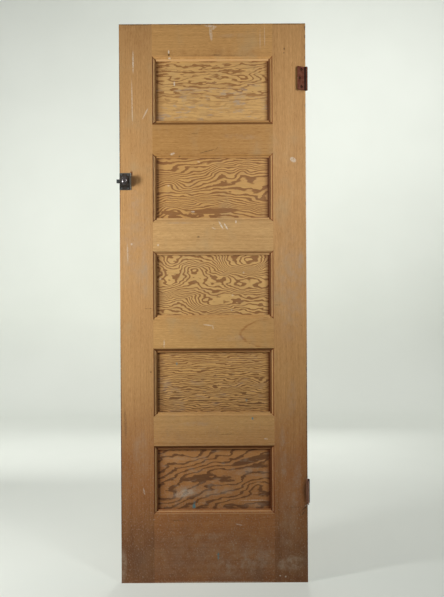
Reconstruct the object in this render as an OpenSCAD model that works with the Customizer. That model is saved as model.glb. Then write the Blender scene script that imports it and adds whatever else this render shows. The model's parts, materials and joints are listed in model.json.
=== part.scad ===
// Narrow five-panel door of softwood: two stiles, six rails and five loose flat panels, with two
// steel butt hinges on the right edge and a cast-iron rim latch with an oval knob on the left edge.
// X runs across the door with the hinges at +X, the front faces -Y, Z is up, and the origin is the
// middle of the bottom edge.

/* [Door] */
// Height of the door
door_h = 1829; // [1600:1:2100]
// Width of the door
door_w = 610; // [500:1:900]
// Thickness of the stiles and rails
door_t = 35; // [32:0.5:45]

/* [Stiles and rails] */
// Width of the flat face of each stile
stile_face = 108; // [95:1:130]
// Height of the flat face of the top rail
top_rail_face = 106; // [80:1:140]
// Height of the flat face of each cross rail
cross_rail_face = 97; // [70:1:120]
// Height of the flat face of the bottom rail
bottom_rail_face = 226; // [150:1:280]
// Length of each tenon past the groove
tenon_l = 38; // [20:1:55]
// Shoulder left above and below a tenon
tenon_shoulder = 10; // [5:1:20]
// Shoulder left at the two ends of the door
tenon_end_shoulder = 26; // [15:1:40]
// Glue room past the end of a tenon
mortise_room = 1.5; // [0.5:0.1:4]

/* [Sticking and panels] */
// Width of the moulded edge around a panel
stick_w = 12.5; // [10:0.5:18]
// Step from the face down to the moulded edge
quirk = 1.8; // [0.8:0.1:3]
// Radius of the quarter round on the moulded edge
ovolo_r = 7; // [4:0.5:8]
// Depth of the panel groove
groove_d = 10; // [6:0.5:11]
// Thickness of the panels
panel_t = 8; // [5:0.5:10]
// Room for a panel to swell at each side
panel_side_room = 2; // [0.5:0.5:4]
// Room for a panel to swell at the top
panel_top_room = 3; // [0.5:0.5:4]

/* [Hinges] */
// Height of a hinge
hinge_h = 76; // [64:1:100]
// Width of a leaf from the pin's axis to its free edge
leaf_w = 32; // [28:0.5:36]
// Thickness of a leaf
leaf_t = 2.4; // [1.8:0.1:3.2]
// Outer diameter of the barrel
barrel_d = 10.5; // [9:0.1:11.5]
// Diameter of the pin
pin_d = 5.6; // [4:0.1:6.4]
// Height of the peened end of the pin
pin_end_h = 1.6; // [1:0.1:3]
// Gap between the leaves when they are shut
leaf_gap = 2; // [1:0.1:3]
// Distance from the front face to the pin's axis
pin_out = 6.5; // [6:0.1:9]
// Gap between two knuckles
knuckle_gap = 0.2; // [0.1:0.05:0.5]
// Distance from the top of the door to the middle of the top hinge
top_hinge_drop = 183; // [120:1:260]
// Height of the middle of the bottom hinge
bottom_hinge_rise = 301; // [150:1:400]
// Angle from shut of the top hinge's free leaf
top_leaf_angle = 240; // [0:1:270]
// Angle from shut of the bottom hinge's free leaf
bottom_leaf_angle = 180; // [0:1:270]
// Hole for a screw in a leaf
leaf_hole_d = 4.4; // [3.6:0.1:5]
// Countersink of that hole
leaf_sink_d = 7.4; // [6.6:0.1:8]
// Distance from the middle hole to the outer holes, along the pin
leaf_hole_pitch = 28; // [20:0.5:32]
// Distance from the pin's axis to the outer holes
leaf_hole_near = 16; // [13:0.5:20]
// Distance from the pin's axis to the middle hole
leaf_hole_far = 23; // [18:0.5:26]
// Length of a hinge screw
hinge_screw_l = 25; // [15:1:35]

/* [Latch case] */
// Height of the middle of the latch
latch_rise = 1314; // [900:1:1400]
// Width of the case across the stile
case_w = 38; // [36:0.5:44]
// Height of the flange
flange_h = 56; // [52:0.5:70]
// Thickness of the flange
flange_t = 2.5; // [2:0.1:2.8]
// Corner radius of the flange
flange_r = 2; // [0.5:0.5:4]
// Height of the raised housing
housing_h = 33; // [32:0.5:36]
// Distance from the door to the front of the housing
housing_d = 12.5; // [12:0.1:16]
// Rounding of the housing's edges
housing_r = 3; // [1:0.5:3.5]
// Step from the flange's side to the housing's side
housing_inset = 1; // [0.5:0.1:1.5]
// Wall of the housing
case_wall = 2.2; // [1.8:0.1:2.6]
// Diameter of the raised ring around the spindle
ring_d = 17; // [14:0.5:20]
// Height of that ring
ring_h = 2; // [1:0.1:3]
// Thickness of the back plate
back_plate_t = 1.2; // [0.8:0.1:1.6]
// Width of the ledge that the back plate sits on
back_ledge = 1; // [0.6:0.1:1.2]
// Screws from the left edge of the case
case_screw_near = 6; // [5:0.5:9]
// Screws on the other side, from the left edge of the case
case_screw_far = 28; // [24:0.5:33]
// Length of a case screw
case_screw_l = 18; // [12:1:25]
// Hole for a screw in the flange
case_hole_d = 3.8; // [3.4:0.1:4.4]
// Countersink of that hole
case_sink_d = 6.6; // [5.8:0.1:7]

/* [Latch works] */
// Distance from the left edge of the case to the spindle
spindle_in = 20; // [18.5:0.1:21]
// Diameter of the spindle
spindle_d = 7; // [6:0.1:8]
// Diameter of the spindle's inner end
journal_d = 5; // [4:0.1:5.2]
// Distance from the spindle to the crank pin
crank_r = 9.5; // [8.5:0.1:9.6]
// Half of the knob's turn
crank_swing = 25; // [20:0.5:26]
// Diameter of the crank pin
crank_pin_d = 4; // [3:0.1:4.2]
// Thickness of the crank
crank_t = 2.8; // [2:0.1:3]
// Height of the bolt
bolt_h = 12; // [10:0.1:12.4]
// Thickness of the bolt
bolt_t = 6; // [5:0.1:6.2]
// Distance from the door to the bolt
bolt_out = 3; // [2.9:0.1:3.2]
// Length of the bolt past the door's edge
bolt_throw = 9; // [8.6:0.1:12]
// Blunt end of the bolt's bevel
bolt_nose = 1.8; // [1:0.1:3]
// Thickness of the bolt's tail
tail_t = 3.5; // [2.5:0.1:3.6]
// Outer diameter of the spring
spring_d = 5.6; // [4.6:0.1:6]
// Diameter of the spring wire
spring_wire = 0.7; // [0.5:0.05:0.9]
// Turns of the spring
spring_turns = 8; // [5:1:9]

/* [Knob] */
// Width of the oval knob
knob_w = 22; // [18:0.5:26]
// Height of the oval knob
knob_h = 31; // [26:0.5:36]
// Depth of the oval knob from back to front
knob_t = 14; // [11:0.5:18]
// Diameter of the knob's neck
neck_d = 12; // [10:0.5:14]
// Length of the neck behind the oval
neck_l = 7; // [5:0.5:10]
// Diameter of the cross pin in the neck
cross_pin_d = 2; // [1.5:0.1:2.5]

/* [Fits] */
// Radial clearance of a part that turns in a bore
run_fit = 0.05; // [0.02:0.01:0.09]
// Clearance of a part that slides
slide_fit = 0.3; // [0.2:0.05:0.35]
// Clearance around a fixed part that is let in or screwed in
set_fit = 0.1; // [0.05:0.05:0.2]

/* [Hidden] */
$fn = 64;

// Cuts run this far past the faces they open
over = 1;

// Woodwork
panel_count = 5;
half_w = door_w / 2;
half_t = door_t / 2;
// Half of the width between the flat faces of the stiles
mid_w = half_w - stile_face;
// Depth of the moulded edge below the face
stick_depth = quirk + ovolo_r;
// From the edge of a flat face to the floor of its groove
groove_floor = stick_w - groove_d;
cross_rails_face = (panel_count - 1) * cross_rail_face;
opening_h = (door_h - top_rail_face - bottom_rail_face - cross_rails_face) / panel_count;
// Lower edge of the opening of a panel, where panel 1 is at the top
function opening_z(i) = bottom_rail_face + (panel_count - i) * (opening_h + cross_rail_face);
top_rail_z = door_h - top_rail_face;

// Hinges
knuckle_count = 5;
knuckle_h = (hinge_h - (knuckle_count - 1) * knuckle_gap) / knuckle_count;
// The flat of a leaf starts clear of the other leaf's knuckles
flat_start = barrel_d / 2 + slide_fit;
pin_x = half_w + leaf_gap / 2;
pin_y = -half_t - pin_out;
top_hinge_z = door_h - top_hinge_drop;
bottom_hinge_z = bottom_hinge_rise;
leaf_holes = [[leaf_hole_near, -leaf_hole_pitch], [leaf_hole_far, 0], [leaf_hole_near, leaf_hole_pitch]];

// Screws
slot_w = 1;
slot_share = 0.6;
screw_point_l = 7;
screw_point_d = 0.8;
hinge_shank_d = leaf_hole_d - 0.6;
case_shank_d = case_hole_d - 0.6;
pilot_room = 0.5;

// Latch case
housing_w = case_w - 2 * housing_inset;
cavity_left = housing_inset + case_wall;
cavity_right = case_w - housing_inset - case_wall;
cavity_half_h = housing_h / 2 - case_wall;
cavity_front = housing_d - case_wall;
ring_front = housing_d + ring_h;
case_screw_z = (flange_h + housing_h) / 4;

// Latch works, at rest with the bolt out
pin_rest_x = spindle_in - crank_r * sin(crank_swing);
pin_rest_z = crank_r * cos(crank_swing);
bolt_travel = 2 * crank_r * sin(crank_swing);
crank_front = cavity_front - slide_fit;
crank_back = crank_front - crank_t;
crank_hub_r = spindle_d / 2 + 1.8;
crank_end_r = crank_pin_d / 2 + 0.7;
tail_front = bolt_out + tail_t;
tail_half_h = bolt_h / 2 - 0.5;
// The thick part of the bolt stops short of the crank when it is drawn back
bolt_thick_end = spindle_in - crank_hub_r - bolt_travel - 1;
tail_end = spindle_in + journal_d / 2 + slide_fit + 2.2;
ear_web = 1.5;
ear_half_w = crank_pin_d / 2 + slide_fit + ear_web;
ear_top = crank_r + crank_pin_d / 2 + slide_fit + ear_web;
lug_t = 3;
lug_left = bolt_thick_end;
lug_right = lug_left + lug_t;
spring_z = -(tail_half_h + cavity_half_h) / 2;
spring_out = bolt_out + spring_d / 2;
spring_r = (spring_d - spring_wire) / 2;
spring_seat = 0.1;
spigot_d = spring_d - 2 * spring_wire - 2 * slide_fit;
spigot_l = 4;

// Knob
neck_back = ring_front + slide_fit;
knob_back = neck_back + neck_l;
knob_middle = knob_back + knob_t / 2;
cross_pin_out = neck_back + neck_l * 0.4;

// Woodwork shapes

// Section of a board with one moulded and grooved edge. The flat face runs from -face to 0.
module shaped_edge(face) {
    difference() {
        translate([-face, -half_t]) square([face + stick_w, door_t]);
        for (side = [0, 1]) mirror([0, side]) difference() {
            translate([0, half_t - stick_depth]) square([stick_w + over, stick_depth + over]);
            translate([0, half_t - stick_depth]) circle(r = ovolo_r);
        }
        translate([groove_floor, -panel_t / 2]) square([groove_d + over, panel_t]);
    }
}

// A stile's full section from z0 to z1, at the left edge of the door
module stile_stock(z0, z1) {
    translate([-mid_w, 0, z0]) linear_extrude(z1 - z0) shaped_edge(stile_face);
}

// Tenon, or the mortise for it, at the left end of a rail
module tenon(z0, z1, room) {
    left = -mid_w + groove_floor - tenon_l - room;
    right = -mid_w + stick_w;
    translate([left, -panel_t / 2, z0]) cube([right - left, panel_t, z1 - z0]);
}

function rail_z0(i) = opening_z(i) + opening_h;

// Lower and upper ends of every tenon, from the top rail down
function tenon_spans() = concat(
    [[top_rail_z + tenon_shoulder, door_h - tenon_end_shoulder]],
    [for (i = [1 : panel_count - 1])
        [rail_z0(i + 1) + tenon_shoulder, rail_z0(i + 1) + cross_rail_face - tenon_shoulder]],
    [[tenon_end_shoulder, bottom_rail_face - tenon_shoulder]]);

// A stile with its mortises, at the left edge of the door
module mortised_stile() {
    difference() {
        stile_stock(0, door_h);
        for (span = tenon_spans()) tenon(span[0], span[1], mortise_room);
    }
}

// A rail from z0 to z1, with a moulded edge below, above or both, and its ends fitted to the stiles
module rail(z0, z1, lower, upper, span) {
    low = lower ? z0 - stick_w : z0;
    high = upper ? z1 + stick_w : z1;
    difference() {
        translate([mid_w, 0, 0]) rotate([0, -90, 0]) linear_extrude(2 * mid_w) union() {
            if (lower) translate([z0, 0]) mirror([1, 0]) shaped_edge(z1 - z0);
            if (upper) translate([z1, 0]) shaped_edge(z1 - z0);
        }
        for (end = [0, 1]) mirror([end, 0, 0]) stile_stock(low - over, high + over);
    }
    for (end = [0, 1]) mirror([end, 0, 0]) tenon(span[0], span[1], 0);
}

// Hinge shapes, about the pin's axis, with the leaf along +Y as it lies when shut

function knuckle_z(k) = -hinge_h / 2 + k * (knuckle_h + knuckle_gap);

// A leaf on the +X side of the pin that owns every second knuckle from the first one given
module leaf(first) {
    difference() {
        union() {
            translate([leaf_gap / 2, flat_start, -hinge_h / 2])
                cube([leaf_t, leaf_w - flat_start, hinge_h]);
            for (k = [first : 2 : knuckle_count - 1]) translate([0, 0, knuckle_z(k)]) {
                cylinder(d = barrel_d, h = knuckle_h);
                translate([leaf_gap / 2, 0, 0]) cube([leaf_t, flat_start + over, knuckle_h]);
            }
        }
        translate([0, 0, -hinge_h / 2 - over])
            cylinder(d = pin_d + 2 * run_fit, h = hinge_h + 2 * over);
        for (hole = leaf_holes) translate([leaf_gap / 2, hole[0], hole[1]]) rotate([0, 90, 0])
            sunk_hole(leaf_hole_d, leaf_sink_d, leaf_t);
    }
}

// Countersunk hole down +Z through a plate
module sunk_hole(hole_d, sink_d, plate_t) {
    translate([0, 0, -over]) cylinder(d = hole_d, h = plate_t + 2 * over);
    sink_h = (sink_d - hole_d) / 2;
    cylinder(d1 = sink_d, d2 = hole_d, h = sink_h);
}

// Slotted wood screw with a flat head at z = 0, pointing up +Z
module wood_screw(head_d, shank_d, length) {
    head_h = (head_d - shank_d) / 2;
    difference() {
        union() {
            cylinder(d1 = head_d, d2 = shank_d, h = head_h);
            translate([0, 0, head_h / 2]) cylinder(d = shank_d, h = length - screw_point_l - head_h / 2);
            translate([0, 0, length - screw_point_l])
                cylinder(d1 = shank_d, d2 = screw_point_d, h = screw_point_l);
        }
        translate([-head_d, -slot_w / 2, -over]) cube([2 * head_d, slot_w, over + slot_share * head_h]);
    }
}

// Hole in the wood for such a screw
module pilot(shank_d, length) {
    translate([0, 0, -over]) cylinder(d = shank_d + set_fit, h = length + over + pilot_room);
}

// Low round button of the pin's peened end, on z = 0
module button(d, h) {
    dome_r = (d * d / 4 + h * h) / (2 * h);
    intersection() {
        translate([0, 0, h - dome_r]) sphere(r = dome_r);
        cylinder(d = d, h = h);
    }
}

module at_hinge(z) {
    translate([pin_x, pin_y, z]) children();
}

// Places of the screws in a door leaf, with their heads on the leaf's outer face
module at_leaf_screws(z) {
    at_hinge(z) for (hole = leaf_holes)
        translate([-leaf_gap / 2, hole[0], hole[1]]) rotate([0, -90, 0]) children();
}

// Recess in the stile's edge for a door leaf, with its screw holes
module gain(z) {
    height = hinge_h + 2 * set_fit;
    depth = pin_y + leaf_w + set_fit + half_t;
    translate([half_w - leaf_t, -half_t - over, z - height / 2])
        cube([leaf_t + over, depth + over, height]);
    at_leaf_screws(z) pilot(hinge_shank_d, hinge_screw_l);
}

module hinge_door_leaf(z) {
    at_hinge(z) mirror([1, 0, 0]) leaf(0);
}

module hinge_free_leaf(z, angle) {
    at_hinge(z) rotate([0, 0, -angle]) leaf(1);
}

module hinge_pin(z) {
    at_hinge(z) {
        translate([0, 0, -hinge_h / 2]) cylinder(d = pin_d, h = hinge_h);
        for (end = [0, 1]) mirror([0, 0, end]) translate([0, 0, hinge_h / 2])
            button(barrel_d - 2, pin_end_h);
    }
}

module hinge_screws(z) {
    at_leaf_screws(z) wood_screw(leaf_sink_d - 2 * set_fit, hinge_shank_d, hinge_screw_l);
}

// Latch shapes, from the left edge of the door and the middle of the latch, outwards to -Y

module at_latch() {
    translate([-half_w, -half_t, latch_rise]) children();
}

// Outline in X and Z, thickened from one distance off the door to another
module outward(from, to) {
    rotate([90, 0, 0]) translate([0, 0, from]) linear_extrude(to - from) children();
}

module rounded_rect(w, h, r) {
    square([w - 2 * r, h], center = true);
    square([w, h - 2 * r], center = true);
    for (x = [-1, 1], y = [-1, 1]) translate([x * (w / 2 - r), y * (h / 2 - r)]) circle(r = r);
}

// Section of a raised housing whose two front edges are round
module crowned(w, depth, r) {
    translate([-w / 2, 0]) square([w, depth - r]);
    translate([-w / 2 + r, 0]) square([w - 2 * r, depth]);
    for (side = [-1, 1]) translate([side * (w / 2 - r), depth - r]) circle(r = r);
}

module housing() {
    translate([case_w / 2, 0, 0]) intersection() {
        outward(0, housing_d) rounded_rect(housing_w, housing_h, housing_r);
        translate([0, 0, -housing_h / 2]) mirror([0, 1, 0]) linear_extrude(housing_h)
            crowned(housing_w, housing_d, housing_r);
        translate([housing_w / 2, 0, 0]) mirror([0, 1, 0]) rotate([0, -90, 0])
            linear_extrude(housing_w) crowned(housing_h, housing_d, housing_r);
    }
}

// Opening of the housing, grown on every side by the room given
module cavity_outline(room) {
    translate([cavity_left - room, -cavity_half_h - room])
        square([cavity_right - cavity_left + 2 * room, 2 * (cavity_half_h + room)]);
}

// Places of the case screws, with their heads on the flange
module at_case_screws() {
    at_latch() for (x = [case_screw_near, case_screw_far], side = [-1, 1])
        translate([x, -flange_t, side * case_screw_z]) rotate([-90, 0, 0]) children();
}

// Bolt seen from above: the bevel is on the side that meets the keeper as the door shuts
module bolt_plan() {
    back = bolt_out;
    front = bolt_out + bolt_t;
    bevel_l = (bolt_t - bolt_nose) * 1.2;
    mirror([0, 1]) polygon([
        [-bolt_throw, front], [-bolt_throw, front - bolt_nose], [-bolt_throw + bevel_l, back],
        [bolt_thick_end, back], [bolt_thick_end, front]]);
}

// Slot with round ends along X
module round_slot(x0, x1, r) {
    for (x = [x0, x1]) translate([x, 0]) circle(r = r);
    translate([x0, -r]) square([x1 - x0, 2 * r]);
}

// Tail of the bolt with the slot for the spindle and the upright slot for the crank pin
module bolt_tail() {
    slot_r = crank_pin_d / 2 + slide_fit;
    difference() {
        union() {
            translate([bolt_thick_end - over, -tail_half_h])
                square([tail_end - bolt_thick_end + over, 2 * tail_half_h]);
            translate([pin_rest_x - ear_half_w, 0]) square([2 * ear_half_w, ear_top]);
            translate([lug_left, spring_z - spring_d / 2]) square([lug_t, -spring_z]);
        }
        round_slot(spindle_in - bolt_travel, spindle_in, journal_d / 2 + slide_fit);
        translate([pin_rest_x, 0]) rotate(90) round_slot(pin_rest_z, crank_r, slot_r);
    }
}

// Crank arm at rest, seen from the front
module crank_outline() {
    circle(r = crank_hub_r);
    rotate(crank_swing) {
        translate([-crank_end_r, 0]) square([2 * crank_end_r, crank_r]);
        translate([0, crank_r]) circle(r = crank_end_r);
    }
}

// Point of the spring's wire after a share of its length
function coil_point(share) = let (
    room = cavity_right - lug_right - spring_wire - 2 * spring_seat,
    turn = 360 * spring_turns * share)
    [lug_right + spring_seat + spring_wire / 2 + room * share, spring_r * cos(turn), spring_r * sin(turn)];

// Ring of the wire's surface round such a point
function coil_ring(share, sides) = let (p = coil_point(share), turn = 360 * spring_turns * share)
    [for (k = [0 : sides - 1]) let (a = 360 * k / sides, out = spring_wire / 2 * cos(a))
        [p[0] + spring_wire / 2 * sin(a), p[1] + out * cos(turn), p[2] + out * sin(turn)]];

module coil(sides, rings) {
    points = [for (r = [0 : rings]) each coil_ring(r / rings, sides)];
    walls = [for (r = [0 : rings - 1], k = [0 : sides - 1])
        [r * sides + k, r * sides + (k + 1) % sides,
         (r + 1) * sides + (k + 1) % sides, (r + 1) * sides + k]];
    first = [for (k = [0 : sides - 1]) sides - 1 - k];
    last = [for (k = [0 : sides - 1]) rings * sides + k];
    polyhedron(points, concat([first], walls, [last]));
}

// Nodes

module latch_stile() color("#b3854f") difference() {
    mortised_stile();
    at_case_screws() pilot(case_shank_d, case_screw_l);
}

module hinge_stile() color("#b3854f") difference() {
    mirror([1, 0, 0]) mortised_stile();
    gain(top_hinge_z);
    gain(bottom_hinge_z);
}

module top_rail() color("#ad7f4b")
    rail(top_rail_z, door_h, true, false, tenon_spans()[0]);

module cross_rail(i) color("#ad7f4b")
    rail(rail_z0(i + 1), rail_z0(i + 1) + cross_rail_face, true, true, tenon_spans()[i]);

module bottom_rail() color("#8c613a")
    rail(0, bottom_rail_face, false, true, tenon_spans()[panel_count]);

module panel(i) color("#c39a5f") {
    half = mid_w - groove_floor - panel_side_room;
    height = opening_h - 2 * groove_floor - panel_top_room;
    translate([-half, -panel_t / 2, opening_z(i) + groove_floor]) cube([2 * half, panel_t, height]);
}

module top_hinge_door_leaf() color("#6b5140") hinge_door_leaf(top_hinge_z);
module top_hinge_free_leaf() color("#7d5c48") hinge_free_leaf(top_hinge_z, top_leaf_angle);
module top_hinge_pin() color("#6b5140") hinge_pin(top_hinge_z);
module top_hinge_screws() color("#5c4a3c") hinge_screws(top_hinge_z);
module bottom_hinge_door_leaf() color("#6b5140") hinge_door_leaf(bottom_hinge_z);
module bottom_hinge_free_leaf() color("#7d5c48") hinge_free_leaf(bottom_hinge_z, bottom_leaf_angle);
module bottom_hinge_pin() color("#6b5140") hinge_pin(bottom_hinge_z);
module bottom_hinge_screws() color("#5c4a3c") hinge_screws(bottom_hinge_z);

module latch_case() color("#3a3531") at_latch() difference() {
    union() {
        translate([case_w / 2, 0, 0]) outward(0, flange_t) rounded_rect(case_w, flange_h, flange_r);
        housing();
        outward(cavity_front, ring_front) translate([spindle_in, 0]) circle(d = ring_d);
    }
    outward(-over, cavity_front) cavity_outline(0);
    outward(-over, back_plate_t) cavity_outline(back_ledge);
    translate([-over, -bolt_out - bolt_t - slide_fit, -bolt_h / 2 - slide_fit])
        cube([cavity_left + 2 * over, bolt_t + 2 * slide_fit, bolt_h + 2 * slide_fit]);
    outward(0, ring_front + over) translate([spindle_in, 0]) circle(d = spindle_d + 2 * run_fit);
    for (x = [case_screw_near, case_screw_far], side = [-1, 1])
        translate([x, -flange_t, side * case_screw_z]) rotate([-90, 0, 0])
            sunk_hole(case_hole_d, case_sink_d, flange_t);
}

module latch_back_plate() color("#4a4037") at_latch() outward(0, back_plate_t) difference() {
    cavity_outline(back_ledge - set_fit);
    translate([spindle_in, 0]) circle(d = journal_d + 2 * run_fit);
}

module latch_bolt() color("#2f3330") at_latch() {
    translate([0, 0, -bolt_h / 2]) linear_extrude(bolt_h) bolt_plan();
    outward(bolt_out, tail_front) bolt_tail();
    translate([lug_left, -spring_out, spring_z]) rotate([0, 90, 0])
        cylinder(d = spigot_d, h = lug_t + spigot_l);
    outward(tail_front - over, bolt_out + spring_d)
        translate([lug_left, spring_z - spring_d / 2]) square([lug_t, spring_d]);
}

module latch_spring() color("#55504a") at_latch()
    translate([0, -spring_out, spring_z]) coil(6, 14 * spring_turns);

module latch_spindle() color("#4b443c") at_latch() difference() {
    translate([spindle_in, 0, 0]) {
        outward(set_fit, crank_front) circle(d = journal_d);
        outward(crank_back, crank_front) crank_outline();
        outward(bolt_out + slide_fit, crank_front) translate([pin_rest_x - spindle_in, pin_rest_z])
            circle(d = crank_pin_d);
        outward(crank_back, knob_middle) circle(d = spindle_d);
    }
    cross_pin(set_fit);
}

module latch_knob() color("#3f3a35") at_latch() difference() {
    translate([spindle_in, 0, 0]) union() {
        outward(neck_back, knob_middle) circle(d = neck_d);
        translate([0, -knob_middle, 0]) scale([knob_w, knob_t, knob_h]) sphere(d = 1, $fn = 40);
    }
    translate([spindle_in, 0, 0]) outward(0, knob_middle + set_fit) circle(d = spindle_d + 2 * run_fit);
    cross_pin(set_fit);
}

// Pin across the neck of the knob, grown by the room given
module cross_pin(room) {
    translate([spindle_in, -cross_pin_out, 0]) rotate([0, 90, 0])
        cylinder(d = cross_pin_d + 2 * room, h = neck_d + 2 * room, center = true);
}

module knob_pin() color("#6a6259") at_latch() cross_pin(0);

module latch_screws() color("#4b443c") at_case_screws()
    wood_screw(case_sink_d - 2 * set_fit, case_shank_d, case_screw_l);

latch_stile();
hinge_stile();
top_rail();
for (i = [1 : panel_count - 1]) cross_rail(i);
bottom_rail();
for (i = [1 : panel_count]) panel(i);
top_hinge_door_leaf();
top_hinge_free_leaf();
top_hinge_pin();
top_hinge_screws();
bottom_hinge_door_leaf();
bottom_hinge_free_leaf();
bottom_hinge_pin();
bottom_hinge_screws();
latch_case();
latch_back_plate();
latch_bolt();
latch_spring();
latch_spindle();
latch_knob();
knob_pin();
latch_screws();
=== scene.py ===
# %% [markdown]
# This lesson dresses a narrow five-panel door: two stiles, six rails, five loose panels, two rusty
# butt hinges and a small iron rim latch. The solids come in ready made and to size, so nothing is
# moved here. The work is in the finish: grain, figure, wear, stains, rust and light.

# %% Load the door
import json
import math

import bmesh
import bpy
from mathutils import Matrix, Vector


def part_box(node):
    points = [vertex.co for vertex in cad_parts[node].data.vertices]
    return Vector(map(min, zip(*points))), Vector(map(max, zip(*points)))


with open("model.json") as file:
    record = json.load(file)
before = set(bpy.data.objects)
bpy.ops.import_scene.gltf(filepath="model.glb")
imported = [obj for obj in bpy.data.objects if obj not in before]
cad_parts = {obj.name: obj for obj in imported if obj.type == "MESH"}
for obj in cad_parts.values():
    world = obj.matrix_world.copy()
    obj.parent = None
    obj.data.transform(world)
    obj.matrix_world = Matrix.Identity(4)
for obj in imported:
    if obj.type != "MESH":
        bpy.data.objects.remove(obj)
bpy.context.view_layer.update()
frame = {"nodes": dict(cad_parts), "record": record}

pieces = frame["nodes"]

# %% [markdown]
# A few measures are read off the solids, so that the finish lands where the wood is: the edges of
# the door, its front face, and the line where each flat face ends and the moulded edge begins.

# %% Measure the door
MM = 0.001
MOULDING = 12.5 * MM
PANEL_HELD = 8 * MM
door_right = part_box("hinge_stile")[1][0]
door_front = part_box("latch_stile")[0][1]
door_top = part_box("latch_stile")[1][2]
face_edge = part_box("latch_stile")[1][0] - MOULDING
lowest_rail_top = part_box("bottom_rail")[1][2] - MOULDING
fourth_rail = [corner[2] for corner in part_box("cross_rail_4")]
LOWEST_OPENING = lowest_rail_top / MM
OPENING_STEP = (fourth_rail[1] - MOULDING - lowest_rail_top) / MM
OPENING_SHARE = (fourth_rail[0] + MOULDING - lowest_rail_top) / MM / OPENING_STEP
HIGHEST_OPENING = (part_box("top_rail")[0][2] + MOULDING) / MM
print("front face at", round(door_front, 4), "stile face ends at", round(face_edge, 4))

# %% [markdown]
# The camera stands level in front of the door and a little right of its middle. The lens follows
# from how many picture dots one metre of door covers, and a slight roll leans the door as it leaned.

# %% Place the camera
PICTURE_HIGH = 597
DOTS_PER_METRE = 305.6
CAMERA_DISTANCE = 2.6
CAMERA_ACROSS = 0.0281
CAMERA_HIGH = 0.930
CAMERA_ROLL = 0.3
SENSOR = 36.0
camera_data = bpy.data.cameras.new("camera")
camera = bpy.data.objects.new("camera", camera_data)
bpy.context.scene.collection.objects.link(camera)
camera.location = (CAMERA_ACROSS, door_front - CAMERA_DISTANCE, CAMERA_HIGH)
camera.rotation_euler = (math.radians(90), math.radians(CAMERA_ROLL), 0)
camera_data.sensor_fit = "VERTICAL"
camera_data.sensor_height = SENSOR
camera_data.lens = DOTS_PER_METRE * CAMERA_DISTANCE * SENSOR / PICTURE_HIGH
bpy.context.scene.camera = camera
print("lens:", round(camera_data.lens, 2), "mm")

# %% [markdown]
# Two soft lamps stand close in front, one at either side, so the light fades quickly down the door.
# The left one is lower and stronger and gives the latch its long shadow. Two more hang behind the
# door and light only the backdrop, which keeps it bright and free of the door's shadow. A last one
# faces the back of the door, for anyone who walks round it.

# %% Light the door
def soft_lamp(name, place, tilt, watts, size, turn=0):
    """A round soft lamp that faces the back of the room, tilted up and turned by some degrees."""
    lamp = bpy.data.lights.new(name, "AREA")
    lamp.shape = "DISK"
    lamp.size = size
    lamp.energy = watts
    stand = bpy.data.objects.new(name, lamp)
    stand.location = place
    stand.rotation_euler = (math.radians(90 + tilt), 0, math.radians(turn))
    stand.visible_camera = False
    bpy.context.scene.collection.objects.link(stand)


soft_lamp("left_lamp", (-1.3, -0.80, 1.18), tilt=-8, watts=33, size=0.42)
soft_lamp("right_lamp", (0.52, -1.05, 1.48), tilt=-8, watts=8.2, size=0.28)
soft_lamp("wall_left_lamp", (-1.68, 1.06, 1.50), tilt=12, watts=62, size=0.54)
soft_lamp("wall_right_lamp", (1.68, 1.06, 2.37), tilt=26, watts=88, size=0.54)
soft_lamp("back_lamp", (0.4, 3.0, 1.5), tilt=-4, watts=34, size=0.5, turn=180)
bpy.context.scene.view_settings.view_transform = "Standard"

# %% [markdown]
# Shader sums read best as Python. A Strand wraps one socket, and adding, multiplying or comparing
# strands adds the Math nodes. Every other node comes from its one method, node.

# %% Strands: shader sums in Python
class Strand:
    """One output socket that can be used in sums such as 1 - strand."""

    def __init__(self, socket):
        self.socket = socket

    def node(self, kind, settings=None, inputs=None, out=0):
        tree = self.socket.id_data
        made = tree.nodes.new("ShaderNode" + kind)
        for key, value in (settings or {}).items():
            setattr(made, key, value)
        for key, value in (inputs or {}).items():
            if isinstance(value, Strand):
                tree.links.new(value.socket, made.inputs[key])
            else:
                made.inputs[key].default_value = value
        return Strand(made.outputs[out])

    def sum_node(self, operation, *values):
        return self.node("Math", {"operation": operation}, dict(enumerate(values)))

    def __add__(self, other):
        return self.sum_node("ADD", self, other)

    def __sub__(self, other):
        return self.sum_node("SUBTRACT", self, other)

    def __rsub__(self, other):
        return self.sum_node("SUBTRACT", other, self)

    def __mul__(self, other):
        return self.sum_node("MULTIPLY", self, other)

    def __truediv__(self, other):
        return self.sum_node("DIVIDE", self, other)

    def __pow__(self, other):
        return self.sum_node("POWER", self, other)

    __radd__ = __add__
    __rmul__ = __mul__

    def size(self):
        return self.sum_node("ABSOLUTE", self)

    def part(self):
        return self.sum_node("FRACT", self)

    def least(self, other):
        return self.sum_node("MINIMUM", self, other)

    def most(self, other):
        return self.sum_node("MAXIMUM", self, other)

    def bell(self):
        """Falls from 1 at nought to nothing, for a strand that is already squared."""
        return self.sum_node("EXPONENT", self * -1)

    def rise(self, low, high):
        """0 below low, 1 above high, and smooth in between. High may be the smaller one."""
        inputs = {"Value": self, "From Min": low, "From Max": high}
        return self.node("MapRange", {"interpolation_type": "SMOOTHSTEP"}, inputs)

    def split(self):
        apart = self.node("SeparateXYZ", None, {0: self}).socket.node
        return [Strand(socket) for socket in apart.outputs]

    def blend(self, under, over, how="MIX"):
        """Colour that goes from under to over, or to a wash of both, as this goes from 0 to 1."""
        full = [c if isinstance(c, Strand) else (*c, 1) for c in (under, over)]
        settings = {"data_type": "RGBA", "clamp_factor": True, "blend_type": how}
        return self.node("Mix", settings, {0: self, 6: full[0], 7: full[1]}, out=2)

    def wash(self, tint):
        """This colour, multiplied by a tint."""
        settings = {"data_type": "RGBA", "blend_type": "MULTIPLY"}
        return self.node("Mix", settings, {0: 1.0, 6: self, 7: (*tint, 1)}, out=2)


print("strands can:", [word for word in vars(Strand) if not word.startswith("_")])

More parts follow.
